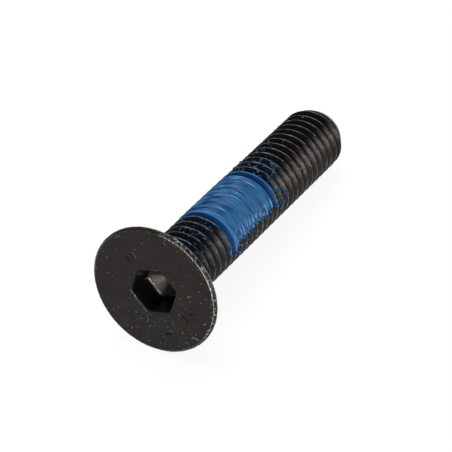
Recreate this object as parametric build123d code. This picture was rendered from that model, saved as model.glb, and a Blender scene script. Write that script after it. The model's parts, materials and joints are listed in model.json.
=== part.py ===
"""Countersunk socket screw, M8 x 40, with a nylon locking patch on its thread.

The steel screw is one piece: its head and hexagon socket are cold-forged and its thread is rolled.
Nylon powder was melted onto one side of the thread, where it fills the grooves and grips a nut.

Both pieces are built along the screw's own axis: the flat face of the head lies in the plane
Z = 0, the shank runs up +Z, and angles about the axis are counted from +X. At the end the screw
is laid on the surface Z = 0, on the edge of its head and the end of its thread, with +X on top.
"""
from build123d import *
import math
import os

# ------------------------------------------------------------ driving dimensions, mm and degrees
OVERALL_LENGTH = 40.0           # flat face of the head to the end of the shank

HEAD_DIAMETER = 15.8
HEAD_LAND = 0.5                 # straight band of the rim, between the face and the countersink
HEAD_EDGE_BEVEL = 0.25          # break between the face and the band
COUNTERSINK_ANGLE = 90.0        # whole angle of the cone under the head

SOCKET_ACROSS_FLATS = 5.1       # takes a 5 mm hexagon key
SOCKET_DEPTH = 2.45             # face of the head to the end of the flats
SOCKET_LIP = 0.15               # bevel at the mouth of the socket
SOCKET_POINT_INSET = 0.37       # how far in the bevel round the punch's point reaches
SOCKET_POINT_LENGTH = 0.48      # how deep that bevel is, below the flats
SOCKET_FLOOR_ANGLE = 120.0      # whole angle of the cone that the punch leaves
SOCKET_FLOOR_FLAT = 0.8         # diameter of the flat at the bottom of that cone
SOCKET_TURN = 13.0              # where a corner of the hexagon points

THREAD_DIAMETER = 7.9           # over the crests
THREAD_PITCH = 1.25
THREAD_DEPTH = 0.74             # crest to root
THREAD_HALF_ANGLE = 30.0        # each flank against the plane across the axis
CREST_WIDTH = 0.16              # flat on top of the thread
CREST_PHASE = 0.56              # height of a crest on the +X side, less a whole number of pitches
RIDGE_BITE = 0.08               # how far the foot of the ridge reaches into the core

TIP_DIAMETER = 6.0              # flat end of the shank
TIP_CHAMFER = 1.7               # length of the cone at the end of the shank

PATCH_START = 10.6              # face of the head to the near side of the nylon
PATCH_LENGTH = 11.4             # along the shank, in whole grooves
PATCH_ARC = 150.0               # how far the nylon reaches round the shank
PATCH_TURN = 8.0                # where the middle of the nylon points
PATCH_COVER = 0.06              # nylon left on top of the crests

# ------------------------------------------------------------ sizes that follow from them
HEAD_RADIUS = HEAD_DIAMETER / 2
CREST_RADIUS = THREAD_DIAMETER / 2
ROOT_RADIUS = CREST_RADIUS - THREAD_DEPTH
TIP_RADIUS = TIP_DIAMETER / 2
CONE_SLOPE = math.tan(math.radians(COUNTERSINK_ANGLE / 2))
FLANK_SLOPE = math.tan(math.radians(THREAD_HALF_ANGLE))
TIP_SLOPE = (CREST_RADIUS - TIP_RADIUS) / TIP_CHAMFER


def cone_height(radius):
    """Height at which the countersink has narrowed to a radius."""
    return HEAD_LAND + (HEAD_RADIUS - radius) / CONE_SLOPE


def turned(*outline):
    """Solid of revolution about the axis, from its outline as (radius, height) corners."""
    corners = [(radius, 0, height) for radius, height in outline]
    return revolve(make_face(Polyline(*corners, close=True)), Axis.Z)


def helix(radius, height, arc, start):
    """Stretch of a right-hand helix of the thread's pitch: its arc and its start in degrees."""
    rise = THREAD_PITCH * arc / 360
    curve = Edge.make_helix(THREAD_PITCH, rise, radius, center=(0, 0, height))
    return curve.rotate(Axis.Z, start)


def wound(profile, start, arcs):
    """Closed solid that a profile sweeps as it is screwed along the axis.

    The profile is a list of (radius, height) corners at the angle start, and arcs lists the
    stretches of the winding, in degrees.
    """
    faces, done = [], 0.0
    for arc in arcs:
        rise = THREAD_PITCH * done / 360
        edges = [helix(radius, height + rise, arc, start + done) for radius, height in profile]
        faces += [Face.make_surface_from_curves(a, b) for a, b in zip(edges, edges[1:] + edges[:1])]
        if done == 0:
            faces.append(make_face(Polyline(*[edge @ 0 for edge in edges], close=True)).face())
        done += arc
    faces.append(make_face(Polyline(*[edge @ 1 for edge in edges], close=True)).face())
    return Solid(Shell(faces))


def forged_blank():
    """Head, with its socket, and the core of the shank, before the thread is rolled."""
    blank = turned(
        (0, 0),
        (HEAD_RADIUS - HEAD_EDGE_BEVEL, 0),
        (HEAD_RADIUS, HEAD_EDGE_BEVEL),
        (HEAD_RADIUS, HEAD_LAND),
        (ROOT_RADIUS, cone_height(ROOT_RADIUS)),
        (ROOT_RADIUS, OVERALL_LENGTH),
        (0, OVERALL_LENGTH),
    )
    return blank - socket()


def hexagon(across_flats):
    """Outline of the socket, with one corner at its own angle."""
    corner_radius = across_flats / math.sqrt(3)
    return RegularPolygon(corner_radius, 6, rotation=SOCKET_TURN)


def socket():
    """Space of the hexagon socket: flats, bevelled mouth and the punch's bevelled point."""
    flats = extrude(hexagon(SOCKET_ACROSS_FLATS), SOCKET_DEPTH)
    mouth = loft([
        hexagon(SOCKET_ACROSS_FLATS + 2 * SOCKET_LIP),
        Pos(0, 0, SOCKET_LIP) * hexagon(SOCKET_ACROSS_FLATS),
    ])
    point_height = SOCKET_DEPTH + SOCKET_POINT_LENGTH
    point_radius = SOCKET_ACROSS_FLATS / 2 - SOCKET_POINT_INSET
    bevel = loft([
        Pos(0, 0, SOCKET_DEPTH) * hexagon(SOCKET_ACROSS_FLATS),
        Pos(0, 0, point_height) * hexagon(2 * point_radius),
    ])
    flat_radius = SOCKET_FLOOR_FLAT / 2
    floor_slope = math.tan(math.radians(SOCKET_FLOOR_ANGLE / 2))
    floor_height = point_height + (point_radius - flat_radius) / floor_slope
    floor = turned(
        (0, SOCKET_DEPTH),
        (point_radius, SOCKET_DEPTH),
        (point_radius, point_height),
        (flat_radius, floor_height),
        (0, floor_height),
    )
    return flats + mouth + bevel + floor


def thread_ridge():
    """Ridge of the thread, from inside the head to past the end of the shank."""
    foot_radius = ROOT_RADIUS - RIDGE_BITE
    foot_width = CREST_WIDTH + 2 * (CREST_RADIUS - foot_radius) * FLANK_SLOPE
    highest_start = cone_height(CREST_RADIUS) - foot_width
    start = CREST_PHASE + THREAD_PITCH * math.floor((highest_start - CREST_PHASE) / THREAD_PITCH)
    turns = math.ceil((OVERALL_LENGTH - start) / THREAD_PITCH)
    profile = [
        (CREST_RADIUS, start - CREST_WIDTH / 2),
        (CREST_RADIUS, start + CREST_WIDTH / 2),
        (foot_radius, start + foot_width / 2),
        (foot_radius, start - foot_width / 2),
    ]
    return wound(profile, 0, [180] * (2 * turns))


def tip_waste():
    """What is off the end of the shank: all that lies outside its cone and past its flat."""
    margin = THREAD_DEPTH
    return turned(
        (CREST_RADIUS + margin, OVERALL_LENGTH - TIP_CHAMFER - margin / TIP_SLOPE),
        (TIP_RADIUS, OVERALL_LENGTH),
        (0, OVERALL_LENGTH),
        (0, OVERALL_LENGTH + 2 * THREAD_PITCH),
        (CREST_RADIUS + margin, OVERALL_LENGTH + 2 * THREAD_PITCH),
    )


def steel_screw():
    """The whole screw in one solid."""
    return forged_blank() + thread_ridge() - tip_waste()


def nylon_patch():
    """Nylon that fills a few grooves on one side and covers the crests between them."""
    start_angle = PATCH_TURN - PATCH_ARC / 2
    phase = CREST_PHASE + THREAD_PITCH * start_angle / 360
    first = phase + THREAD_PITCH * round((PATCH_START - phase) / THREAD_PITCH)
    grooves = round(PATCH_LENGTH / THREAD_PITCH)
    root_edge = CREST_WIDTH / 2 + THREAD_DEPTH * FLANK_SLOPE
    profile = []
    for crest in [first + number * THREAD_PITCH for number in range(grooves)]:
        profile += [
            (CREST_RADIUS, crest + CREST_WIDTH / 2),
            (ROOT_RADIUS, crest + root_edge),
            (ROOT_RADIUS, crest + THREAD_PITCH - root_edge),
            (CREST_RADIUS, crest + THREAD_PITCH - CREST_WIDTH / 2),
        ]
    near, far = profile[0][1], profile[-1][1]
    profile += [(CREST_RADIUS + PATCH_COVER, far), (CREST_RADIUS + PATCH_COVER, near)]
    return wound(profile, start_angle, [PATCH_ARC])


def laid_down(piece):
    """The piece as it comes to rest on the edge of the head and the last whole crest below."""
    crest_edge = CREST_PHASE + THREAD_PITCH / 2 + CREST_WIDTH / 2
    chamfer_start = OVERALL_LENGTH - TIP_CHAMFER
    last_crest = chamfer_start - (chamfer_start - crest_edge) % THREAD_PITCH
    lean = math.degrees(math.atan2(HEAD_RADIUS - CREST_RADIUS, last_crest - HEAD_LAND))
    return Rot(0, 90 + lean, 0) * Rot(0, 0, 180) * piece


if __name__ == "__main__":
    os.makedirs("parts", exist_ok=True)
    pieces = {"screw": laid_down(steel_screw()), "nylon_patch": laid_down(nylon_patch())}
    box = pieces["screw"].bounding_box()
    rest = Pos(-box.center().X, -box.center().Y, -box.min.Z)
    for name, piece in pieces.items():
        piece = rest * piece
        print(name, piece.bounding_box(), piece.volume)
        export_step(piece, f"parts/{name}.step")
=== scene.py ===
"""Blackened countersunk socket screw with a locking patch of blue nylon on its thread.

The screw lies on a pale floor, on the edge of its head and the end of its thread. Its pieces are
built along its own axis in millimetres: the flat face of the head at height 0, the shank up +Z,
and angles counted from +X, which is uppermost once the screw lies down. Each piece is then laid
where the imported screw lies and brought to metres.
"""

import json
import logging
import math
import random
from dataclasses import dataclass, field
from typing import Callable, Iterable, Union

import bmesh
import bpy
from mathutils import Matrix, Vector, noise

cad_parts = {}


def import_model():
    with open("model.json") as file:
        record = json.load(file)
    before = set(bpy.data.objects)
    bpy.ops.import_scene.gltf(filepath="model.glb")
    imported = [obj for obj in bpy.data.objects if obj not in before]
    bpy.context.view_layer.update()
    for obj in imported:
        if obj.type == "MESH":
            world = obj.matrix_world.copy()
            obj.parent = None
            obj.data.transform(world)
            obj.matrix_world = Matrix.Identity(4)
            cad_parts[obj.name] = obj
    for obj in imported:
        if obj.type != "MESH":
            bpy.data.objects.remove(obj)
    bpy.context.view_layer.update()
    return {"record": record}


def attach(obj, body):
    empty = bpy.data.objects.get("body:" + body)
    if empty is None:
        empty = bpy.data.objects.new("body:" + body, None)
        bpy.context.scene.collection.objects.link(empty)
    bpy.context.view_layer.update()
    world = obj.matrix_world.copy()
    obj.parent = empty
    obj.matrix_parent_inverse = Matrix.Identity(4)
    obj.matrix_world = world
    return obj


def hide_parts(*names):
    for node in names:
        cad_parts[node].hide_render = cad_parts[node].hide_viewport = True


log = logging.getLogger("screw")

METRES = 0.001
BODY = "root"
WELD = 1e-4

BMesh, BMEdge, BMVert = bmesh.types.BMesh, bmesh.types.BMEdge, bmesh.types.BMVert
Material, Object = bpy.types.Material, bpy.types.Object
Colour = tuple[float, float, float, float]
Mover = Callable[[Vector], Vector]


# ---------------------------------------------------------------- small sums


def larger(first: float, second: float, blend: float) -> float:
    """Larger of two numbers, with the corner between them rounded over a blend width."""
    share = max(blend - abs(first - second), 0.0) / blend
    return max(first, second) + share * share * blend / 4


def smaller(first: float, second: float, blend: float) -> float:
    """Smaller of two numbers, with the corner between them rounded over a blend width."""
    return -larger(-first, -second, blend)


def ramp(value: float, low: float, high: float) -> float:
    """Smooth step from 0 at low to 1 at high."""
    share = min(max((value - low) / (high - low), 0.0), 1.0)
    return share * share * (3 - 2 * share)


def mixed(first: float, second: float, share: float) -> float:
    """Number a share of the way from first to second."""
    return first + (second - first) * share


def steps(count: int) -> list[float]:
    """Shares that rise to 1 in equal steps, without the 0."""
    return [number / count for number in range(1, count + 1)]


def band(value: float, low: float, high: float, soft: float) -> float:
    """1 between low and high, falling smoothly to 0 over a soft margin outside them."""
    return ramp(value, low - soft, low) * (1 - ramp(value, high, high + soft))


def mottle(point: Vector, size: float, seed: float = 0.0) -> float:
    """Noise from about -1 to 1 with patches and specks, the larger about a size across."""
    place = point / size + Vector((seed, seed, seed))
    return noise.noise(place) + 0.5 * noise.noise(place * 2.3)


def polar(radius: float, angle: float, height: float) -> Vector:
    """Point at a radius, an angle in degrees and a height."""
    turn = math.radians(angle)
    return Vector((radius * math.cos(turn), radius * math.sin(turn), height))


# ---------------------------------------------------------------- form of the screw


@dataclass(frozen=True)
class ThreadForm:
    """Rolled M8 thread, with the corners of its crests and roots rounded."""

    crest_radius: float = 3.95
    depth: float = 0.74
    pitch: float = 1.25
    crest_width: float = 0.16
    half_angle: float = 30.0
    phase: float = 0.56
    crest_round: float = 0.14
    root_round: float = 0.16

    def off_crest(self, angle: float, height: float) -> float:
        """Distance along the axis from the nearest crest's middle, signed."""
        lift = height - self.phase - self.pitch * angle / 360
        return (lift + self.pitch / 2) % self.pitch - self.pitch / 2

    def radius(self, angle: float, height: float) -> float:
        """Radius of the thread's surface."""
        off = abs(self.off_crest(angle, height))
        fall = (off - self.crest_width / 2) / math.tan(math.radians(self.half_angle))
        fall = larger(fall, 0.0, self.crest_round)
        return self.crest_radius - smaller(fall, self.depth, self.root_round)


@dataclass(frozen=True)
class ScrewForm:
    """Outer form of the whole screw as one radius for each angle and height."""

    length: float = 40.0
    head_radius: float = 7.9
    face_radius: float = 7.63
    edge_bevel: float = 0.25
    land: float = 0.5
    tip_radius: float = 3.0
    tip_chamfer: float = 1.7
    neck_round: float = 0.22
    tip_round: float = 0.06
    thread: ThreadForm = ThreadForm()

    def cone(self, height: float) -> float:
        """Radius of the 90 degree countersink."""
        return self.head_radius + self.land - height

    def tip(self, height: float) -> float:
        """Radius of the chamfer at the end."""
        slope = (self.thread.crest_radius - self.tip_radius) / self.tip_chamfer
        return self.tip_radius + (self.length - height) * slope

    def radius(self, angle: float, height: float) -> float:
        """Radius of the steel behind the head's band."""
        shank = smaller(self.thread.radius(angle, height), self.tip(height), self.tip_round)
        return larger(shank, self.cone(height), self.neck_round)


@dataclass(frozen=True)
class SocketForm:
    """Hexagon socket with a bevelled mouth, and the bevelled point of the punch below it."""

    across: float = 5.1
    mouth_across: float = 5.4
    point_across: float = 4.36
    depth: float = 2.45
    point_depth: float = 2.93
    floor_angle: float = 120.0
    floor_flat: float = 0.8
    turn: float = 13.0
    corner_round: float = 0.12

    def reach(self, inner_radius: float, angle: float) -> float:
        """Distance from the axis to a hexagon of that inner radius."""
        off_flat = (angle - self.turn) % 60 - 30
        flat = inner_radius / math.cos(math.radians(off_flat))
        corner = inner_radius / math.cos(math.radians(30)) - self.corner_round / 4
        return smaller(flat, corner, self.corner_round)

    def floor_depth(self) -> float:
        """Depth of the flat at the bottom of the punch's cone."""
        run = (self.point_across - self.floor_flat) / 2
        return self.point_depth + run / math.tan(math.radians(self.floor_angle / 2))


SCREW = ScrewForm()
THREAD = SCREW.thread
SOCKET = SocketForm()


# ---------------------------------------------------------------- laying the screw down


@dataclass(frozen=True)
class Stance:
    """How the screw lies: where the middle of its face is and how it is turned."""

    face: Vector
    axis: Vector

    @classmethod
    def from_record(cls, record: dict) -> "Stance":
        """Reads the stance from the socket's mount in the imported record.

        Args:
            record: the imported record.

        Returns:
            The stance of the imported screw.
        """
        mounts = {mount["name"]: mount for mount in record["mounts"]}
        mouth = mounts["hexagon_socket"]
        return cls(Vector(mouth["pos_m"]), -Vector(mouth["axis"]).normalized())

    def matrix(self) -> Matrix:
        """Matrix from the screw's own frame in millimetres to the lying screw in metres."""
        side = self.axis.cross(Vector((0, 0, 1))).normalized()
        top = side.cross(self.axis)
        turn = Matrix((top, side, self.axis)).transposed().to_4x4()
        return Matrix.Translation(self.face) @ turn @ Matrix.Scale(METRES, 4)


# ---------------------------------------------------------------- mesh helpers


def shown(mesh: BMesh, name: str, material: Material) -> Object:
    """Puts a bmesh into the scene as a new object with one finish, and frees it."""
    data = bpy.data.meshes.new(name)
    mesh.to_mesh(data)
    mesh.free()
    data.materials.append(material)
    piece = bpy.data.objects.new(name, data)
    bpy.context.scene.collection.objects.link(piece)
    return piece


def finished(
    mesh: BMesh,
    name: str,
    place: Matrix,
    material: Material,
    sharp_angle: float = 50.0,
) -> Object:
    """Turns a bmesh into an object that rides on the screw.

    Args:
        mesh: the mesh in the screw's own frame; it is freed.
        name: name of the piece.
        place: matrix that lays the piece down.
        material: its finish.
        sharp_angle: edges that fold by more degrees than this are shaded sharp.

    Returns:
        The new object, at the origin.
    """
    bmesh.ops.transform(mesh, matrix=place, verts=mesh.verts[:])
    bmesh.ops.recalc_face_normals(mesh, faces=mesh.faces[:])
    for face in mesh.faces:
        face.smooth = True
    for edge in mesh.edges:
        edge.smooth = edge.calc_face_angle(0.0) < math.radians(sharp_angle)
    piece = shown(mesh, name, material)
    log.info("%s: %d faces", name, len(piece.data.polygons))
    return piece


def verts_of(made: list) -> list[BMVert]:
    """Vertices among what a bmesh operator made."""
    return [item for item in made if isinstance(item, BMVert)]


def grown(mesh: BMesh, loop: list[BMEdge], move: Mover) -> list[BMEdge]:
    """Extrudes an open rim by one row and moves the new row.

    Args:
        mesh: the mesh to grow.
        loop: edges of the rim.
        move: gives each new vertex its place.

    Returns:
        The edges of the new rim.
    """
    made = bmesh.ops.extrude_edge_only(mesh, edges=loop)["geom"]
    for vert in verts_of(made):
        vert.co = move(vert.co)
    return [item for item in made if isinstance(item, BMEdge) and item.is_boundary]


def spot(co: Vector) -> tuple[float, float, float]:
    """Radius, angle in degrees and height of a point."""
    return math.hypot(co.x, co.y), math.degrees(math.atan2(co.y, co.x)), co.z


# ---------------------------------------------------------------- steel screw


STEEL_LAYERS = ("wear", "cast", "dust", "painted_highlight")


@dataclass(frozen=True)
class Stamp:
    """Short groove in the head's face, from one end to the other, with a raised burr round it."""

    start: Vector
    end: Vector
    half_width: float = 0.085
    depth: float = 0.08
    burr: float = 0.012
    rubbed: float = 0.12
    bottom_rubbed: float = 0.0
    bottom_painted_shade: float = 0.7

    def away(self, point: Vector) -> float:
        """Distance of a point from the groove's middle line, in half widths."""
        run = self.end - self.start
        share = (point - self.start).dot(run) / max(run.length_squared, 1e-9)
        return (point - self.start - run * min(max(share, 0.0), 1.0)).length / self.half_width

    def sink(self, point: Vector) -> float:
        """How far the face lies below its plane at a point of it."""
        away = self.away(point)
        return self.depth * (1 - ramp(away, 0.2, 1.1)) - self.burr * band(away, 1.2, 1.5, 0.5)

    def wear(self, point: Vector) -> float:
        """How far the finish is rubbed off at a point of the face."""
        away = self.away(point)
        bottom = self.bottom_rubbed * (1 - ramp(away, 0.5, 1.2))
        return max(bottom, self.rubbed * band(away, 1.2, 1.6, 0.6))

    def shade(self, point: Vector) -> float:
        """How much painted shade blackens the bottom of the groove at a point of the face."""
        return self.bottom_painted_shade * (1 - ramp(self.away(point), 0.5, 1.3))


@dataclass
class SteelScrew:
    """Head, socket, thread and tip in one closed skin.

    Sectors and angles are in degrees round the axis. A dent is a radius, an angle and a length; a
    scratch also has the angle it runs at and how bare it is.
    """

    place: Matrix
    around_head: int = 400
    around_thread: int = 100
    join_height: float = 3.2
    join_gap: float = 0.1
    end_round: float = 0.13
    round_from: float = 3.7
    floor_rings: int = 9
    bevel_rings: int = 3
    wall_heights: tuple[float, ...] = (2.3, 1.7, 1.0, 0.4, 0.2)
    lip_rows: tuple[tuple[float, float], ...] = (
        (0.04, 0.15),
        (0.2, 0.1),
        (0.5, 0.05),
        (0.8, 0.02),
        (1.1, 0.0),
    )
    spread_rings: int = 12
    face_rings: int = 46
    bevel_shares: tuple[float, ...] = (0.15, 0.3, 0.45, 0.6, 0.75, 0.9)
    band_heights: tuple[float, ...] = (0.27, 0.31, 0.36, 0.4, 0.44)
    cone_rings: int = 9
    end_shares: tuple[float, ...] = (0.93, 0.85, 0.72, 0.56, 0.38, 0.2, 0.07)
    profile_offsets: tuple[float, ...] = (0.045, 0.085, 0.13, 0.2, 0.3, 0.39, 0.47, 0.55)
    worn_lip: tuple[float, float] = (-163.0, -112.0)
    # Sectors of the socket with a painted highlight: a bare line along the step and a bright part of
    # the floor.
    worn_and_highlit_step: tuple[float, float] = (-163.0, -111.0)
    painted_floor_highlight: tuple[float, float] = (-158.0, -112.0)
    knocked_rim: tuple[float, float] = (14.0, 108.0)
    mark_radius: float = 4.65
    mark_reach: float = 0.5
    tick_angles: tuple[float, ...] = (-13, -34, -48, 118, 130, 143)
    dot_angles: tuple[float, ...] = (-60, -83, 153)
    dot_radius: float = 0.13
    dent_turn: float = 70
    dents: tuple[tuple[float, ...], ...] = ((5.07, 104, 0.6), (5.42, 157, 0.8))
    scratches: tuple[tuple[float, ...], ...] = (
        (7.04, 128, 0.75, 96, 0.6),
        (7.35, -42, 1.0, 48, 0.3),
        (6.85, 9, 0.4, 120, 0.3),
        (6.9, 24, 0.4, 130, 0.3),
        (3.35, 87, 0.3, 170, 0.3),
        (3.6, 96, 0.25, 160, 0.3),
    )
    stamps: list[Stamp] = field(default_factory=list)

    def build(self, material: Material) -> Object:
        """Makes the whole piece.

        Args:
            material: its finish.

        Returns:
            The finished object.
        """
        self.stamps = [*self.marks(), *self.knocks()]
        mesh = bmesh.new()
        self.wind_thread(mesh)
        self.cut_ends(mesh)
        self.close_tip(mesh)
        self.join_head(mesh)
        layers = {name: mesh.verts.layers.float.new(name) for name in STEEL_LAYERS}
        for vert in mesh.verts:
            for name, amount in self.weathered(vert).items():
                vert[layers[name]] = amount
        return finished(mesh, "screw_body", self.place, material)

    def wind_thread(self, mesh: BMesh) -> None:
        """Spins one pitch of profile round the axis, repeats it and shapes it to the form."""
        half = THREAD.pitch / 2
        offsets = [-half, *[-off for off in reversed(self.profile_offsets)], 0.0]
        offsets += [*self.profile_offsets, half]
        pitches = math.floor((self.join_height - 1.5 * THREAD.pitch) / THREAD.pitch)
        low = THREAD.phase + THREAD.pitch * pitches
        column = [mesh.verts.new((THREAD.crest_radius, 0, low + off)) for off in offsets]
        edges = [mesh.edges.new(pair) for pair in zip(column, column[1:])]
        bmesh.ops.spin(
            mesh,
            geom=column + edges,
            axis=(0, 0, 1),
            dvec=(0, 0, THREAD.pitch / self.around_thread),
            angle=math.tau,
            steps=self.around_thread,
        )
        turns = math.ceil((SCREW.length - low) / THREAD.pitch) + 1
        one_turn = mesh.verts[:] + mesh.edges[:] + mesh.faces[:]
        for number in range(1, turns):
            copy = verts_of(bmesh.ops.duplicate(mesh, geom=one_turn)["geom"])
            bmesh.ops.translate(mesh, vec=(0, 0, THREAD.pitch * number), verts=copy)
        bmesh.ops.remove_doubles(mesh, verts=mesh.verts[:], dist=WELD)
        for vert in mesh.verts:
            radius, angle, height = spot(vert.co)
            vert.co = polar(SCREW.radius(angle, height), angle, height)

    def cut_ends(self, mesh: BMesh) -> None:
        """Cuts the wound thread square where it meets the head and the end face."""
        for height, up in ((self.join_height, False), (SCREW.length - self.end_round / 2, True)):
            bmesh.ops.bisect_plane(
                mesh,
                geom=mesh.verts[:] + mesh.edges[:] + mesh.faces[:],
                plane_co=(0, 0, height),
                plane_no=(0, 0, 1),
                clear_outer=up,
                clear_inner=not up,
            )

    def rim_at(self, mesh: BMesh, height: float) -> list[BMEdge]:
        """Open edges that lie at a height."""
        return [
            edge
            for edge in mesh.edges
            if edge.is_boundary and all(abs(vert.co.z - height) < 1e-3 for vert in edge.verts)
        ]

    def close_tip(self, mesh: BMesh) -> None:
        """Rounds the edge of the end face and closes it with rings."""
        loop = self.rim_at(mesh, SCREW.length - self.end_round / 2)
        edge = SCREW.tip_radius
        rows = [(edge - 0.02, -0.02), (edge - 0.08, 0.0)]
        rows += [(edge * share, 0.0) for share in self.end_shares]
        for radius, lift in rows:
            loop = grown(mesh, loop, self.ring(radius, SCREW.length + lift))
        bmesh.ops.contextual_create(mesh, geom=loop)

    def ring(self, radius: float, height: float) -> Mover:
        """Mover that puts a row on a circle."""
        return lambda co: polar(radius, spot(co)[1], height)

    def hexagon(self, inner_radius: float, share: float, height: float) -> Mover:
        """Mover that puts a row between a circle, at share 0, and a hexagon, at share 1."""

        def move(co: Vector) -> Vector:
            angle = spot(co)[1]
            reach = mixed(inner_radius, SOCKET.reach(inner_radius, angle), share)
            return polar(reach, angle, height)

        return move

    def socket_rows(self) -> Iterable[Mover]:
        """Movers for the rows from the socket's floor up to its mouth."""
        inner, mouth, point = SOCKET.across / 2, SOCKET.mouth_across / 2, SOCKET.point_across / 2
        flat, bottom, end = SOCKET.floor_flat / 2, SOCKET.floor_depth(), SOCKET.point_depth
        for share in steps(self.floor_rings):
            yield self.ring(mixed(flat, point - 0.06, share), mixed(bottom, end + 0.035, share))
        for share, lift in ((0.4, 0.024), (0.75, 0.012), (1.0, 0.0)):
            yield self.hexagon(point - 0.03 * (1 - share), share, end + lift)
        for share in steps(self.bevel_rings):
            height = mixed(end, SOCKET.depth, share) - 0.01
            yield self.hexagon(mixed(point, inner, share), 1.0, height)
        for height in self.wall_heights:
            yield self.hexagon(inner, 1.0, height)
        for share, height in self.lip_rows:
            yield self.hexagon(mixed(inner, mouth, share), 1.0, height)

    def face_rows(self) -> Iterable[Mover]:
        """Movers for the rows from the socket's mouth to the rim."""
        mouth, first = SOCKET.mouth_across / 2, self.round_from + 0.05
        for share in steps(self.spread_rings)[:-1]:
            yield self.hexagon(mixed(mouth + 0.05, self.round_from, share), 1 - share, 0.0)
        for share in (0.0, *steps(self.face_rings)):
            yield self.ring(mixed(first, SCREW.face_radius, share), 0.0)

    def rim_rows(self) -> Iterable[Mover]:
        """Movers for the rows round the rim and down the countersink."""
        edge, bevel = SCREW.face_radius, SCREW.edge_bevel
        yield self.ring(edge + 0.03, 0.008)
        for share in self.bevel_shares:
            yield self.ring(mixed(edge, SCREW.head_radius, share) + 0.01, bevel * share)
        for height in self.band_heights:
            yield self.ring(SCREW.head_radius, height)
        yield self.ring(SCREW.head_radius - 0.01, 0.48)
        yield self.ring(SCREW.head_radius - 0.05, 0.54)
        for share in steps(self.cone_rings):
            height = mixed(0.6, self.join_height - self.join_gap, share)
            yield self.ring(SCREW.cone(height), height)

    def turned_head(self) -> bpy.types.Mesh:
        """Grows the head from the floor of its socket out to the end of the countersink."""
        head = bmesh.new()
        turn = Matrix.Rotation(math.radians(SOCKET.turn), 4, "Z")
        bmesh.ops.create_circle(
            head,
            cap_ends=True,
            segments=self.around_head,
            radius=SOCKET.floor_flat / 2,
            matrix=Matrix.Translation((0, 0, SOCKET.floor_depth())) @ turn,
        )
        loop = head.edges[:]
        for move in (*self.socket_rows(), *self.face_rows(), *self.rim_rows()):
            loop = grown(head, loop, move)
        data = bpy.data.meshes.new("turned_head")
        head.to_mesh(data)
        head.free()
        return data

    def join_head(self, mesh: BMesh) -> None:
        """Adds the head and joins it to the thread."""
        data = self.turned_head()
        mesh.from_mesh(data)
        bpy.data.meshes.remove(data)
        head_end = self.rim_at(mesh, self.join_height - self.join_gap)
        bmesh.ops.bridge_loops(mesh, edges=head_end + self.rim_at(mesh, self.join_height))

    def marks(self) -> Iterable[Stamp]:
        """Plain stamped ticks and dots in two arcs on the face."""
        low, high = self.mark_radius - self.mark_reach, self.mark_radius + self.mark_reach
        for angle in self.tick_angles:
            yield Stamp(polar(low, angle, 0), polar(high, angle, 0))
        for angle in self.dot_angles:
            middle = polar(self.mark_radius, angle, 0)
            yield Stamp(middle, middle, half_width=self.dot_radius)

    def ends(self, radius: float, angle: float, length: float, turn: float) -> dict[str, Vector]:
        """Both ends of a straight mark whose middle is at a radius and an angle of the face."""
        middle, along = polar(radius, angle, 0), polar(length / 2, turn, 0)
        return {"start": middle - along, "end": middle + along}

    def knocks(self) -> Iterable[Stamp]:
        """Dents and scratches from handling: the dents with painted shade in them, the scratches
        bare.
        """
        plain = {"burr": 0.0, "rubbed": 0.0}
        for radius, angle, length in self.dents:
            ends = self.ends(radius, angle, length, self.dent_turn)
            yield Stamp(**ends, **plain, half_width=0.09, depth=0.09, bottom_painted_shade=1.0)
        for radius, angle, length, turn, bare in self.scratches:
            ends = self.ends(radius, angle, length, turn)
            shallow = {"half_width": 0.06, "depth": 0.02, "bottom_painted_shade": 0.0}
            yield Stamp(**ends, **plain, **shallow, bottom_rubbed=bare)

    def weathered(self, vert: BMVert) -> dict[str, float]:
        """Presses and dents one vertex, and gives how its finish has fared there.

        Args:
            vert: the vertex; it is moved a little.

        Returns:
            Bare metal ("wear", in part a painted highlight), brown cast (taken away by painted shade
            in grooves and dents), nylon dust and painted highlight at the vertex, each from about 0
            to 1. One that is left out is 0.
        """
        radius, angle, height = spot(vert.co)
        in_socket = radius <= SOCKET.across / math.sqrt(3) + 0.1
        on_face = height < 0.02 and radius > SOCKET.mouth_across / 2
        if on_face and radius < SCREW.face_radius - 0.05:
            return self.weathered_face(vert)
        if height < self.join_height and not in_socket:
            return self.weathered_rim(vert)
        if in_socket and height < SOCKET.floor_depth() + 0.1:
            return self.weathered_socket(angle, height)
        return self.weathered_thread(vert)

    def weathered_socket(self, angle: float, height: float) -> dict[str, float]:
        """Finish of the socket: black walls, and a floor with a painted highlight on one side."""
        floor = ramp(height, SOCKET.point_depth - 0.05, SOCKET.point_depth + 0.02)
        # Painted highlight: the floor is bare and warm on the side where the low lamp would glint.
        bright = mixed(0.1, 0.85, band(angle, *self.painted_floor_highlight, 22)) * floor
        # A bare line along the step on that side: wear, and in part a painted highlight of its lit
        # edge.
        edge = 1 - ramp(abs(height - SOCKET.point_depth), 0.01, 0.05)
        edge *= band(angle, *self.worn_and_highlit_step, 4)
        return {"wear": max(0.26 * bright, 0.6 * edge), "cast": 0.6 * floor, "painted_highlight": 0.6 * bright}

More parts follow.
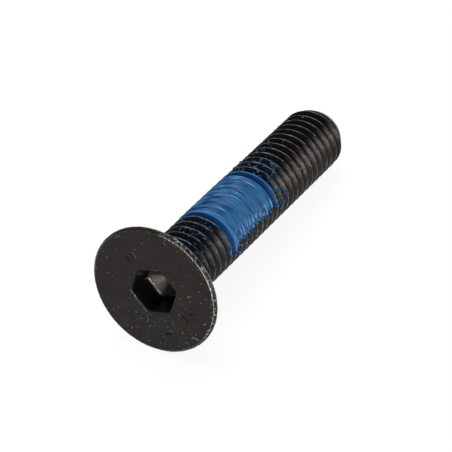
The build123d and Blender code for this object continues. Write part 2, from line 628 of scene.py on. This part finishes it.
    def weathered_face(self, vert: BMVert) -> dict[str, float]:
        """Weathers one vertex of the flat face, as weathered does."""
        radius, angle, _ = spot(vert.co)
        near = [stamp for stamp in self.stamps if stamp.away(vert.co) < 3]
        wear = max((stamp.wear(vert.co) for stamp in near), default=0.0)
        # Painted shade in the bottoms of grooves and dents takes the brown cast away.
        shade = max((stamp.shade(vert.co) for stamp in near), default=0.0)
        lip = SOCKET.reach(SOCKET.mouth_across / 2, angle)
        worn_side = band(angle, *self.worn_lip, 12)
        lip_wear = worn_side * (1 - ramp(radius, lip + 0.05, lip + 0.34))
        wear = max(wear, lip_wear * max(0.15 + 0.7 * mottle(vert.co, 0.15), 0.0))
        edge_wear = ramp(radius, SCREW.face_radius - 0.8, SCREW.face_radius - 0.1)
        edge_wear *= 0.6 * self.rim_wear(vert.co) * ramp(mottle(vert.co, 0.2), 0.1, 0.8)
        wear = max(wear, edge_wear)
        grain = Matrix.Rotation(math.radians(18), 3, "Z") @ vert.co
        brushed = noise.noise(Vector((grain.x / 0.25, grain.y / 3.5, 0)))
        streak = band(grain.x, -0.25, 0.15, 0.35) * band(grain.y, -7.0, -3.4, 0.8)
        vert.co.z += sum(stamp.sink(vert.co) for stamp in near)
        vert.co.z += 0.006 * noise.noise(vert.co / 1.1) + 0.003 * mottle(vert.co, 0.3)
        cast = 0.56 + 0.2 * brushed + 0.25 * noise.noise(vert.co / 1.7) + 0.3 * mottle(vert.co, 0.35)
        return {"wear": wear, "cast": cast * (1 - 0.45 * streak) * (1 - shade)}

    def rim_wear(self, point: Vector) -> float:
        """How worn the rim is at a point: most on the side where it was knocked about."""
        return mixed(0.3, 0.85, band(spot(point)[1], *self.knocked_rim, 22))

    def weathered_rim(self, vert: BMVert) -> dict[str, float]:
        """Weathers one vertex of the rim or the countersink, as weathered does."""
        radius, angle, height = spot(vert.co)
        on_band = ramp(radius, SCREW.face_radius - 0.06, SCREW.face_radius + 0.06)
        break_line = 1 - ramp(math.hypot(radius - SCREW.face_radius, height), 0.02, 0.1)
        back_line = band(height, 0.42, 0.5, 0.06)
        knocked = self.rim_wear(vert.co)
        patches = 0.7 * ramp(mottle(vert.co, 0.2), -0.1, 0.65)
        line = 0.62 + 0.8 * noise.noise(vert.co / 0.3)
        wear = knocked * max(break_line * line, back_line * line, on_band * patches)
        below = 1 - ramp(height, 0.6, 1.6)
        wear = max(wear, 0.35 * knocked * below * ramp(mottle(vert.co, 0.25, 5.0), 0.5, 1.0))
        dent = max(mottle(vert.co, 0.45), -0.3)
        vert.co = polar(radius - 0.03 * on_band * dent, angle, vert.co.z)
        return {"wear": wear, "cast": mixed(0.35, 0.8, on_band) * below}

    def weathered_thread(self, vert: BMVert) -> dict[str, float]:
        """Weathers one vertex of the thread or the end face, as weathered does."""
        radius, angle, height = spot(vert.co)
        if height > SCREW.length - 0.05:
            return {"cast": 0.5}
        crest = ramp(radius, THREAD.crest_radius - 0.07, THREAD.crest_radius - 0.015)
        crest *= 1 - ramp(radius, THREAD.crest_radius + 0.01, THREAD.crest_radius + 0.06)
        line = 0.26 + 0.18 * noise.noise(vert.co / 0.9) + 0.16 * noise.noise(vert.co / 0.25)
        line *= 1 - 0.6 * band(angle, 40, 80, 15)
        spots = 0.5 * ramp(mottle(vert.co, 0.16), 0.75, 1.1)
        spots *= ramp(mottle(vert.co, 2.0, 9.0), 0.1, 0.6)
        dent = max(mottle(vert.co, 0.35), 0.0)
        vert.co = polar(radius - 0.02 * crest * dent, angle, height)
        lift = height - THREAD.pitch * angle / 360
        dusty = band(angle, -75, 60, 40) * band(lift, 4.5, 24.0, 3.0)
        dusty *= ramp(mottle(vert.co, 0.8), -0.5, 0.5)
        # Painted highlight: a warm band where the low lamp would glint, on the head-facing flanks
        # from about 24 to 86 degrees round, left off the roots and dimmer near the head and near the
        # end.
        turned = angle % 360
        painted_highlight = ramp(turned, 24, 54) * (1 - 0.82 * ramp(turned, 56, 86))
        painted_highlight *= 1 - ramp(turned, 150, 230)
        painted_highlight *= ramp(radius, THREAD.crest_radius - 0.52, THREAD.crest_radius - 0.22)
        painted_highlight *= 1 - ramp(radius, THREAD.crest_radius + 0.1, THREAD.crest_radius + 0.5)
        painted_highlight *= 1 - ramp(THREAD.off_crest(angle, height), -0.02, 0.1)
        painted_highlight *= (0.7 + 0.7 * mottle(vert.co, 0.45)) * mixed(0.5, 1.0, ramp(height, 5.0, 9.0))
        painted_highlight *= 1 - 0.45 * ramp(height, 34.0, 38.0)
        return {
            # Wear is raised a little under the painted highlight, so that it glints.
            "wear": max(crest * line, spots, 0.05 * painted_highlight),
            "cast": 0.12 * crest,
            "dust": dusty * (1 - 0.7 * painted_highlight) * mixed(0.5, 1.0, ramp(lift, 6.0, 10.0)),
            "painted_highlight": max(painted_highlight, 0.0),
        }


# ---------------------------------------------------------------- nylon


@dataclass
class NylonPatch:
    """Powder melted over one side of the thread, thick in the middle and thin at both ends."""

    place: Matrix
    around: int = 240
    rows_per_pitch: int = 18
    first_angle: float = -88.0
    last_angle: float = 108.0
    low: float = 9.6
    high: float = 22.9
    patch_low: float = 10.5
    patch_high: float = 21.95
    patch_first: float = -75.0
    patch_last: float = 80.0
    cover: float = 0.05
    hidden: float = 0.06
    first_fringe: tuple[tuple[float, ...], ...] = ((7, 0.6, 14.0), (5, 0.22, 19.0))
    last_fringe: tuple[tuple[float, ...], ...] = ((7, 0.75, 4.0), (6, 0.23, 9.0))

    def streak(self, angle: float, lift: float, width: float, length: float, seed: float) -> float:
        """Noise drawn out along the thread, about width across and length long."""
        arc = math.radians(angle) * THREAD.crest_radius
        return noise.noise(Vector((arc / length, lift / width, seed)))

    def fringe(self, lift: float, waves: tuple[tuple[float, ...], ...]) -> float:
        """Degrees by which a side of the patch reaches out, from waves of (most, width, seed)."""
        return sum(most * noise.noise(Vector((lift / width, seed, 0))) for most, width, seed in waves)

    def inside(self, angle: float, height: float) -> float:
        """Signed distance in mm from the edge of the patch, positive inside."""
        lift = height - THREAD.pitch * angle / 360
        arc = math.radians(1) * THREAD.crest_radius
        holes = 1.15 * ramp(angle, 46, 82) * self.streak(angle, lift, 0.17, 0.42, 3.0)
        last = self.patch_last + self.fringe(lift, self.last_fringe)
        last += 15 * (1 - ramp(lift, 11.2, 14.0))
        first = self.patch_first + self.fringe(lift, self.first_fringe)
        sides = min(angle - first, last - angle) * arc
        wavy = 0.1 * self.streak(angle, lift, 3.0, 0.9, 1.0)
        wavy += 0.05 * self.streak(angle, lift, 3.0, 0.25, 2.0)
        ends = min(lift - self.patch_low, self.patch_high - lift) + wavy
        return smaller(sides, ends, 0.3) + holes - 0.1 * ramp(angle, 50, 85)

    def thickness(self, angle: float, height: float) -> float:
        """Share from 0, where the powder only coats the thread, to 1, where it fills it."""
        lift = height - THREAD.pitch * angle / 360
        from_end = min(lift - self.patch_low, self.patch_high - lift)
        return ramp(from_end, THREAD.pitch - 0.1, THREAD.pitch + 0.25)

    def radius(self, angle: float, height: float) -> float:
        """Radius of the nylon's surface, below the steel where there is none."""
        steel = SCREW.radius(angle, height)
        lift = height - THREAD.pitch * angle / 360
        smooth = ramp(angle, -40, 16) * (1 - 0.5 * ramp(angle, 50, 70))
        thick = self.thickness(angle, height)
        level = THREAD.crest_radius - mixed(0.68, mixed(0.30, -0.03, smooth), thick)
        level += 0.03 * self.streak(angle, lift, 0.5, 2.4, 5.0)
        level += 0.03 * thick * self.streak(angle, lift, 0.2, 1.6, 6.0)
        top = larger(steel + self.cover, level, 0.1)
        share = ramp(self.inside(angle, height), -0.04, 0.24)
        return mixed(steel - self.hidden, top, share)

    def tone(self, angle: float, height: float) -> float:
        """How pale the nylon is: deep in thin grooves, pale along streaks, with a painted highlight
        along the crests and painted shade on the side turned from the lamps.
        """
        lift = height - THREAD.pitch * angle / 360
        raised = ramp(SCREW.radius(angle, height), THREAD.crest_radius - 0.5, THREAD.crest_radius)
        thick = self.thickness(angle, height)
        smooth = ramp(angle, 8, 34)
        fine = self.streak(angle, lift, 0.16, 2.2, 7.0)
        broad = self.streak(angle, lift, 0.7, 3.0, 8.0)
        # Painted highlight: the raised crests are paler on the side up to about 0 degrees.
        painted_crest_highlight = raised * (1 - ramp(angle, -34, 4))
        ribbed = 0.11 + 0.44 * painted_crest_highlight + mixed(0.6, 1.25, ramp(angle, -50, -10)) * fine + 0.3 * broad
        plain = 0.25 + 0.2 * fine + 0.12 * broad
        drips = 0.27 + 1.6 * self.streak(angle, lift, 0.24, 0.8, 9.0)
        filled = mixed(mixed(ribbed, plain, smooth), drips, ramp(angle, 48, 66))
        # Where the coat is thin the crests are paler: partly the coat's own colour, partly a painted
        # highlight.
        thin = 0.03 + 0.6 * ramp(raised, 0.8, 1.0)
        edge = mixed(0.4, 1.0, ramp(self.inside(angle, height), 0.05, 0.4))
        # Painted shade: darker towards the side near -78 degrees, turned away from the lamps.
        edge *= mixed(0.1, 1.0, ramp(angle, -78, -14))
        return min(max(mixed(thin, filled, thick) * edge, 0.08 * thick), 1.0)

    def build(self, material: Material) -> Object:
        """Makes the patch as a thin closed skin that dips into the steel at its edges.

        Args:
            material: its finish.

        Returns:
            The finished object.
        """
        mesh = bmesh.new()
        tone = mesh.verts.layers.float.new("tone")
        rows = round((self.high - self.low) / THREAD.pitch * self.rows_per_pitch)
        bmesh.ops.create_grid(mesh, x_segments=self.around, y_segments=rows, size=0.5)
        bare = {}
        for vert in mesh.verts:
            angle = mixed(self.first_angle, self.last_angle, vert.co.x + 0.5)
            height = mixed(self.low, self.high, vert.co.y + 0.5) + THREAD.pitch * angle / 360
            radius = self.radius(angle, height)
            bare[vert] = radius < SCREW.radius(angle, height) - 0.9 * self.hidden
            vert[tone] = self.tone(angle, height)
            vert.co = polar(radius, angle, height)
        gone = [face for face in mesh.faces if all(bare[vert] for vert in face.verts)]
        bmesh.ops.delete(mesh, geom=gone, context="FACES")
        bmesh.ops.recalc_face_normals(mesh, faces=mesh.faces[:])
        bmesh.ops.solidify(mesh, geom=mesh.faces[:], thickness=self.hidden)
        return finished(mesh, "nylon_patch_skin", self.place, material)


@dataclass(frozen=True)
class Strewn:
    """Stretch of the thread over which grains of nylon are strewn."""

    count: int
    angles: tuple[float, float]
    heights: tuple[float, float]
    sizes: tuple[float, float] = (0.045, 0.1)


@dataclass
class NylonGrains:
    """Grains of nylon that melted onto the steel round the patch and on the head."""

    place: Matrix
    seed: int = 11
    flatness: float = 0.55
    sunk: float = 0.25
    landmark_scale: float = 0.72
    face_tones: tuple[float, float] = (0.35, 0.9)
    thread_tones: tuple[float, float] = (0.0, 0.42)
    face_grains: int = 75
    rim_grains: int = 26
    strewn: tuple[Strewn, ...] = (
        Strewn(260, (-60, 100), (22.0, 25.5), (0.10, 0.24)),
        Strewn(100, (-60, 110), (25.0, 31.0), (0.09, 0.22)),
        Strewn(60, (-60, 110), (30.0, 39.0), (0.08, 0.19)),
        Strewn(160, (-60, 85), (5.0, 10.4), (0.08, 0.18)),
        Strewn(130, (72, 108), (10.0, 24.0), (0.09, 0.21)),
        Strewn(70, (100, 300), (5.0, 39.0)),
    )
    # Grains placed one by one on the face, each by its radius, angle and width.
    # fmt: off
    landmarks: tuple[tuple[float, float, float], ...] = (
        (6.06, -17, 0.17), (5.34, -29, 0.15), (6.58, -70, 0.16), (5.9, -87, 0.15),
        (7.45, -87, 0.13), (3.1, -77, 0.1), (2.85, 3, 0.12), (6.45, 31, 0.1),
        (5.75, 49, 0.1), (6.75, 61, 0.13), (6.1, 69, 0.16), (4.2, 60, 0.1),
        (6.75, 78, 0.13), (6.05, 83, 0.12), (4.5, 78, 0.2), (4.7, 85, 0.12),
        (6.9, 106, 0.18), (4.2, -150, 0.15), (3.7, -170, 0.13), (4.4, -172, 0.16),
        (4.85, -177, 0.16), (4.6, 176, 0.13), (5.1, 152, 0.15), (5.75, 137, 0.16),
        (6.9, 141, 0.13), (6.5, -157, 0.14), (7.2, -155, 0.12), (7.0, -177, 0.11),
        (6.7, 170, 0.13), (6.8, 165, 0.13), (6.7, -131, 0.12), (7.5, -128, 0.13),
        (3.85, 120, 0.14), (7.4, -40, 0.14),
    )
    # fmt: on

    def stood(self, point: Vector, normal: Vector, size: float) -> Matrix:
        """Matrix that flattens a ball of radius 1 and stands it on a surface.

        Args:
            point: where the grain is.
            normal: direction away from the surface.
            size: radius of the grain.

        Returns:
            The grain's matrix.
        """
        upright = normal.to_track_quat("Z", "Y").to_matrix().to_4x4()
        shape = Matrix.Diagonal((size, size * 0.85, size * self.flatness, 1))
        return Matrix.Translation(point - normal * size * self.sunk) @ upright @ shape

    def on_thread(self, angle: float, height: float) -> tuple[Vector, Vector]:
        """Point of the thread's surface and the direction away from it."""
        step = 0.02
        turn = math.degrees(step / THREAD.crest_radius)
        point = polar(SCREW.radius(angle, height), angle, height)
        above = polar(SCREW.radius(angle, height + step), angle, height + step) - point
        beside = polar(SCREW.radius(angle + turn, height), angle + turn, height) - point
        return point, beside.cross(above).normalized()

    def places(self, draw: random.Random) -> Iterable[Matrix]:
        """Matrices of all the grains.

        Args:
            draw: source of the random draws.

        Yields:
            One matrix for each grain.
        """
        face_up, edge = Vector((0, 0, -1)), SCREW.head_radius
        for radius, angle, size in self.landmarks:
            yield self.stood(polar(radius, angle, 0), face_up, size * self.landmark_scale)
        for _ in range(self.face_grains):
            side = 1 if draw.random() < 0.6 else -1
            angle, radius = side * draw.triangular(20, 180, 175), draw.uniform(3.2, edge - 0.35)
            yield self.stood(polar(radius, angle, 0), face_up, draw.uniform(0.04, 0.09))
        for _ in range(self.rim_grains):
            angle, height = draw.uniform(-180, 180), draw.uniform(0.12, 0.45)
            yield self.stood(polar(edge, angle, height), polar(1, angle, 0), draw.uniform(0.06, 0.12))
        for stretch in self.strewn:
            for _ in range(stretch.count):
                angle, height = draw.uniform(*stretch.angles), draw.uniform(*stretch.heights)
                point, normal = self.on_thread(angle, height)
                yield self.stood(point, normal, draw.uniform(*stretch.sizes))

    def build(self, material: Material) -> Object:
        """Strews all the grains as one piece.

        Args:
            material: their finish.

        Returns:
            The finished object.
        """
        draw = random.Random(self.seed)
        places = list(self.places(draw))
        mesh = bmesh.new()
        tone = mesh.verts.layers.float.new("tone")
        number = mesh.verts.layers.int.new("number")
        bmesh.ops.create_uvsphere(mesh, u_segments=8, v_segments=5, radius=1)
        copies = 1
        while copies < len(places):
            grains = mesh.verts[:] + mesh.edges[:] + mesh.faces[:]
            for vert in verts_of(bmesh.ops.duplicate(mesh, geom=grains)["geom"]):
                vert[number] += copies
            copies *= 2
        spare = [vert for vert in mesh.verts if vert[number] >= len(places)]
        bmesh.ops.delete(mesh, geom=spare, context="VERTS")
        on_face = len(self.landmarks) + self.face_grains
        tones = [self.face_tones if at < on_face else self.thread_tones for at in range(len(places))]
        pale = [draw.uniform(*pair) for pair in tones]
        for vert in mesh.verts:
            vert[tone] = pale[vert[number]] * ramp(vert.co.z, 0.45, 1.0)
            vert.co = places[vert[number]] @ vert.co
        mesh.verts.layers.int.remove(number)
        return finished(mesh, "nylon_grains", self.place, material)


# ---------------------------------------------------------------- finishes


Number = Union[float, "Level"]


class Level:
    """Number that varies over a surface: a node's output that takes part in arithmetic."""

    def __init__(self, graph: "Graph", socket: bpy.types.NodeSocket) -> None:
        """Wraps a socket of a graph."""
        self.graph = graph
        self.socket = socket

    def math(self, operation: str, *others: Number, first: Number | None = None) -> "Level":
        """Result of a Math node on this number and others.

        Args:
            operation: the Math node's operation.
            others: the other numbers, in order.
            first: stands in front of this number, for reflected forms.

        Returns:
            The result.
        """
        terms = [self, *others] if first is None else [first, self]
        node = self.graph.node("ShaderNodeMath", {"operation": operation}, dict(enumerate(terms)))
        return Level(self.graph, node.outputs[0])

    def __add__(self, other: Number) -> "Level":
        """Sum."""
        return self.math("ADD", other)

    __radd__ = __add__

    def __mul__(self, other: Number) -> "Level":
        """Product."""
        return self.math("MULTIPLY", other)

    __rmul__ = __mul__

    def __sub__(self, other: Number) -> "Level":
        """Difference."""
        return self.math("SUBTRACT", other)

    def __rsub__(self, other: Number) -> "Level":
        """Difference, reflected."""
        return self.math("SUBTRACT", first=other)

    def step(self, low: float, high: float) -> "Level":
        """Smooth step from 0 at low to 1 at high."""
        node = self.graph.node(
            "ShaderNodeMapRange",
            {"interpolation_type": "SMOOTHSTEP"},
            {"Value": self, "From Min": low, "From Max": high},
        )
        return Level(self.graph, node.outputs["Result"])


class Graph:
    """Node tree of one material, around one Principled shader."""

    def __init__(self, name: str) -> None:
        """Starts a material with a bare Principled shader."""
        self.material = bpy.data.materials.new(name)
        self.material.use_nodes = True
        self.tree = self.material.node_tree
        self.shader = self.tree.nodes["Principled BSDF"]
        coords = self.node("ShaderNodeTexCoord")
        scale = (1 / METRES,) * 3
        places = {"Vector": coords.outputs["Object"], "Scale": scale}
        mapping = self.node("ShaderNodeMapping", {}, places)
        self.mm = mapping.outputs["Vector"]

    def node(
        self, kind: str, settings: dict | None = None, inputs: dict | None = None
    ) -> bpy.types.Node:
        """Adds a node.

        Args:
            kind: the node's type.
            settings: its properties, set first.
            inputs: values, sockets or levels for its inputs, by name or number.

        Returns:
            The node.
        """
        node = self.tree.nodes.new(kind)
        for name, value in (settings or {}).items():
            setattr(node, name, value)
        for name, value in (inputs or {}).items():
            self.feed(node.inputs[name], value)
        return node

    def feed(self, socket: bpy.types.NodeSocket, value: object) -> None:
        """Links or sets one input."""
        if isinstance(value, Level):
            self.tree.links.new(value.socket, socket)
        elif isinstance(value, bpy.types.NodeSocket):
            self.tree.links.new(value, socket)
        else:
            socket.default_value = value

    def speckle(self, size: float, detail: float = 2.0, roughness: float = 0.5) -> Level:
        """Noise whose patches are about a size across, in millimetres."""
        node = self.node(
            "ShaderNodeTexNoise",
            {},
            {"Vector": self.mm, "Scale": 1 / size, "Detail": detail, "Roughness": roughness},
        )
        return Level(self, node.outputs["Fac"])

    def attribute(self, name: str) -> Level:
        """Number stored on the mesh."""
        node = self.node("ShaderNodeAttribute", {"attribute_name": name})
        return Level(self, node.outputs["Fac"])

    def blend(self, share: Number, first: object, second: object) -> bpy.types.NodeSocket:
        """Colour a share of the way from first to second."""
        node = self.node("ShaderNodeMix", {"data_type": "RGBA"}, {0: share, 6: first, 7: second})
        return node.outputs[2]

    def bump(self, height: Level, depth: float) -> None:
        """Roughens the surface by a height, at a depth in millimetres."""
        node = self.node("ShaderNodeBump", {}, {"Height": height, "Distance": depth * METRES})
        self.feed(self.shader.inputs["Normal"], node.outputs["Normal"])

    def finish(self, inputs: dict) -> Material:
        """Feeds the shader and gives the material."""
        for name, value in inputs.items():
            self.feed(self.shader.inputs[name], value)
        return self.material


def opaque(red: float, green: float, blue: float) -> Colour:
    """Colour with full alpha."""
    return (red, green, blue, 1.0)


@dataclass(frozen=True)
class BlackOxide:
    """Blackened steel with a soft sheen: brown-grey on the head, with bare metal where it is worn,
    and a warm painted highlight on the thread and the socket's floor.
    """

    black: Colour = opaque(0.0045, 0.0045, 0.0050)
    brown: Colour = opaque(0.0160, 0.0115, 0.0080)
    bare: Colour = opaque(0.54, 0.53, 0.51)
    painted_highlight: Colour = opaque(0.112, 0.088, 0.075)
    dust: Colour = opaque(0.004, 0.015, 0.045)
    grain_size: float = 0.13
    specular: float = 0.15

    def material(self) -> Material:
        """Builds the material."""
        graph = Graph("black_oxide")
        grain = graph.speckle(self.grain_size, 2.0)
        cast = graph.attribute("cast")
        colour = graph.blend(cast * (grain * 1.7 + 0.15), self.black, self.brown)
        # Painted highlight: a warm grey-brown blended in from the mesh's layer for it.
        painted_highlight = graph.attribute("painted_highlight") * (grain * 1.3 + 0.3)
        colour = graph.blend(painted_highlight, colour, self.painted_highlight)
        dusty = graph.attribute("dust") * graph.speckle(0.3, 2.0).step(0.38, 0.6)
        colour = graph.blend(dusty, colour, self.dust)
        rubbed = (graph.attribute("wear") * (grain * 1.2 + 0.4)).step(0.05, 1.0)
        graph.bump(grain, 0.018)
        return graph.finish(
            {
                "Base Color": graph.blend(rubbed, colour, self.bare),
                "Roughness": 0.16 + cast * 0.13 + grain * 0.1,
                "Metallic": rubbed * 0.6,
                "Specular IOR Level": self.specular,
            }
        )


@dataclass(frozen=True)
class BlueNylon:
    """Nylon powder melted to a soft-sheened skin, deep where it is thin and pale where it is thick,
    its tone also carrying painted highlights and painted shade.
    """

    name: str = "blue_nylon"
    deep: Colour = opaque(0.001, 0.028, 0.120)
    pale: Colour = opaque(0.100, 0.340, 0.650)
    sheen: Colour = opaque(0.35, 0.70, 1.0)
    specular: float = 0.17
    roughness: float = 0.34

    def material(self) -> Material:
        """Builds the material."""
        graph = Graph(self.name)
        grain = graph.speckle(0.2, 2.0)
        # The tone carries the nylon's own depth and, on the patch, painted highlights and painted
        # shade.
        tone = graph.attribute("tone") * (grain * 0.4 + 0.8)
        graph.bump(grain, 0.02)
        return graph.finish(
            {
                "Base Color": graph.blend(tone, self.deep, self.pale),
                "Roughness": self.roughness + grain * 0.12,
                "Specular IOR Level": self.specular,
                "Specular Tint": self.sheen,
            }
        )


# ---------------------------------------------------------------- studio


@dataclass(frozen=True)
class Softbox:
    """Rectangular lamp that faces the head of the screw."""

    name: str
    azimuth: float
    elevation: float
    distance: float
    width: float
    height: float
    watts: float
    colour: tuple[float, float, float] = (1.0, 1.0, 1.0)


@dataclass
class Studio:
    """Pale floor with a swept-up edge, soft light and the camera."""

    middle: Vector
    floor_radius: float = 5.0
    sweep_radius: float = 0.8
    floor_colour: Colour = opaque(0.84, 0.84, 0.84)
    white: Colour = opaque(1.0, 1.0, 1.0)
    seen_white: float = 0.88
    glow: float = 1.04
    world_strength: float = 0.15
    azimuth: float = -60.85
    elevation: float = 39.16
    camera_distance: float = 0.2952
    aim: tuple[float, float, float] = (0.0082, -0.00463, 0.00536)
    lens: float = 211.46

    def back(self, azimuth: float, elevation: float) -> Vector:
        """Unit vector from the object towards a viewpoint."""
        turn, rise = math.radians(azimuth), math.radians(elevation)
        level = math.cos(rise)
        return Vector((math.sin(turn) * level, -math.cos(turn) * level, math.sin(rise)))

    def floor_finish(self) -> Material:
        """Pale floor that shows mostly white to the camera and in reflections."""
        graph = Graph("floor")
        path = graph.node("ShaderNodeLightPath")
        kinds = ("Camera", "Glossy", "Transmission")
        camera, glossy, through = (Level(graph, path.outputs[f"Is {kind} Ray"]) for kind in kinds)
        seen = camera.math("MAXIMUM", glossy).math("MAXIMUM", through)
        glow = graph.node("ShaderNodeEmission", {}, {"Color": self.white, "Strength": self.glow})
        both = graph.node(
            "ShaderNodeMixShader",
            {},
            {0: seen * self.seen_white, 1: graph.shader.outputs["BSDF"], 2: glow.outputs["Emission"]},
        )
        graph.feed(graph.tree.nodes["Material Output"].inputs["Surface"], both.outputs["Shader"])
        return graph.finish(
            {"Base Color": self.floor_colour, "Roughness": 0.9, "Specular IOR Level": 0.0}
        )

    def add_floor(self) -> None:
        """Lays the floor and sweeps its edge up into a low wall."""
        mesh = bmesh.new()
        bmesh.ops.create_circle(mesh, cap_ends=True, segments=96, radius=self.floor_radius)
        loop = [edge for edge in mesh.edges if edge.is_boundary]
        for degrees in range(10, 91, 10):
            turn = math.radians(degrees)
            reach = self.floor_radius + self.sweep_radius * math.sin(turn)
            rise = self.sweep_radius * (1 - math.cos(turn))
            loop = grown(mesh, loop, lambda co: Vector((*(co.xy.normalized() * reach), rise)))
        for face in mesh.faces:
            face.smooth = len(face.verts) == 4
        floor = shown(mesh, "floor", self.floor_finish())

    def add_world(self) -> None:
        """Gives the surroundings a plain white."""
        world = bpy.data.worlds.new("studio")
        bpy.context.scene.world = world
        world.use_nodes = True
        sky = world.node_tree.nodes["Background"].inputs
        sky["Color"].default_value = self.white
        sky["Strength"].default_value = self.world_strength

    def add_lamp(self, box: Softbox) -> None:
        """Hangs one softbox."""
        lamp = bpy.data.lights.new(box.name, "AREA")
        lamp.shape = "RECTANGLE"
        lamp.size = box.width
        lamp.size_y = box.height
        lamp.energy = box.watts
        lamp.color = box.colour
        holder = bpy.data.objects.new(box.name, lamp)
        back = self.back(box.azimuth, box.elevation)
        holder.location = self.middle + back * box.distance
        holder.rotation_euler = back.to_track_quat("Z", "Y").to_euler()
        bpy.context.scene.collection.objects.link(holder)

    def add_camera(self) -> None:
        """Sets up the camera."""
        lens = bpy.data.cameras.new("camera")
        lens.lens = self.lens
        lens.sensor_width = 36.0
        lens.clip_start = 0.01
        holder = bpy.data.objects.new("camera", lens)
        back = self.back(self.azimuth, self.elevation)
        holder.location = self.middle + Vector(self.aim) + back * self.camera_distance
        holder.rotation_euler = back.to_track_quat("Z", "Y").to_euler()
        bpy.context.scene.collection.objects.link(holder)
        bpy.context.scene.camera = holder


SOFTBOXES = (
    Softbox("low_front", -47.0, 7.0, 0.6, 0.84, 0.20, 4.2, (1.0, 0.95, 0.90)),
    Softbox("overhead", 150.0, 72.0, 0.9, 0.70, 0.70, 7.5),
    Softbox("far_side", 115.0, 28.0, 0.9, 0.50, 0.50, 1.1),
)


def main() -> None:
    """Builds the screw, the studio and the camera."""
    logging.basicConfig(level=logging.INFO, format="%(name)s: %(message)s")
    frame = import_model()
    stance = Stance.from_record(frame["record"])
    place = stance.matrix()
    steel, nylon = BlackOxide().material(), BlueNylon().material()
    glossy = BlueNylon(
        name="blue_nylon_grains",
        deep=opaque(0.003, 0.014, 0.040),
        pale=opaque(0.150, 0.330, 0.520),
        specular=0.5,
        roughness=0.16,
    )

    screw = SteelScrew(place).build(steel)
    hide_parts("screw")
    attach(screw, BODY)

    patch = NylonPatch(place).build(nylon)
    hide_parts("nylon_patch")
    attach(patch, BODY)

    grains = NylonGrains(place).build(glossy.material())
    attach(grains, BODY)

    studio = Studio(stance.face)
    studio.add_floor()
    studio.add_world()
    for box in SOFTBOXES:
        studio.add_lamp(box)
    studio.add_camera()
    bpy.context.scene.view_settings.view_transform = "Standard"


if __name__ == "__main__":
    main()
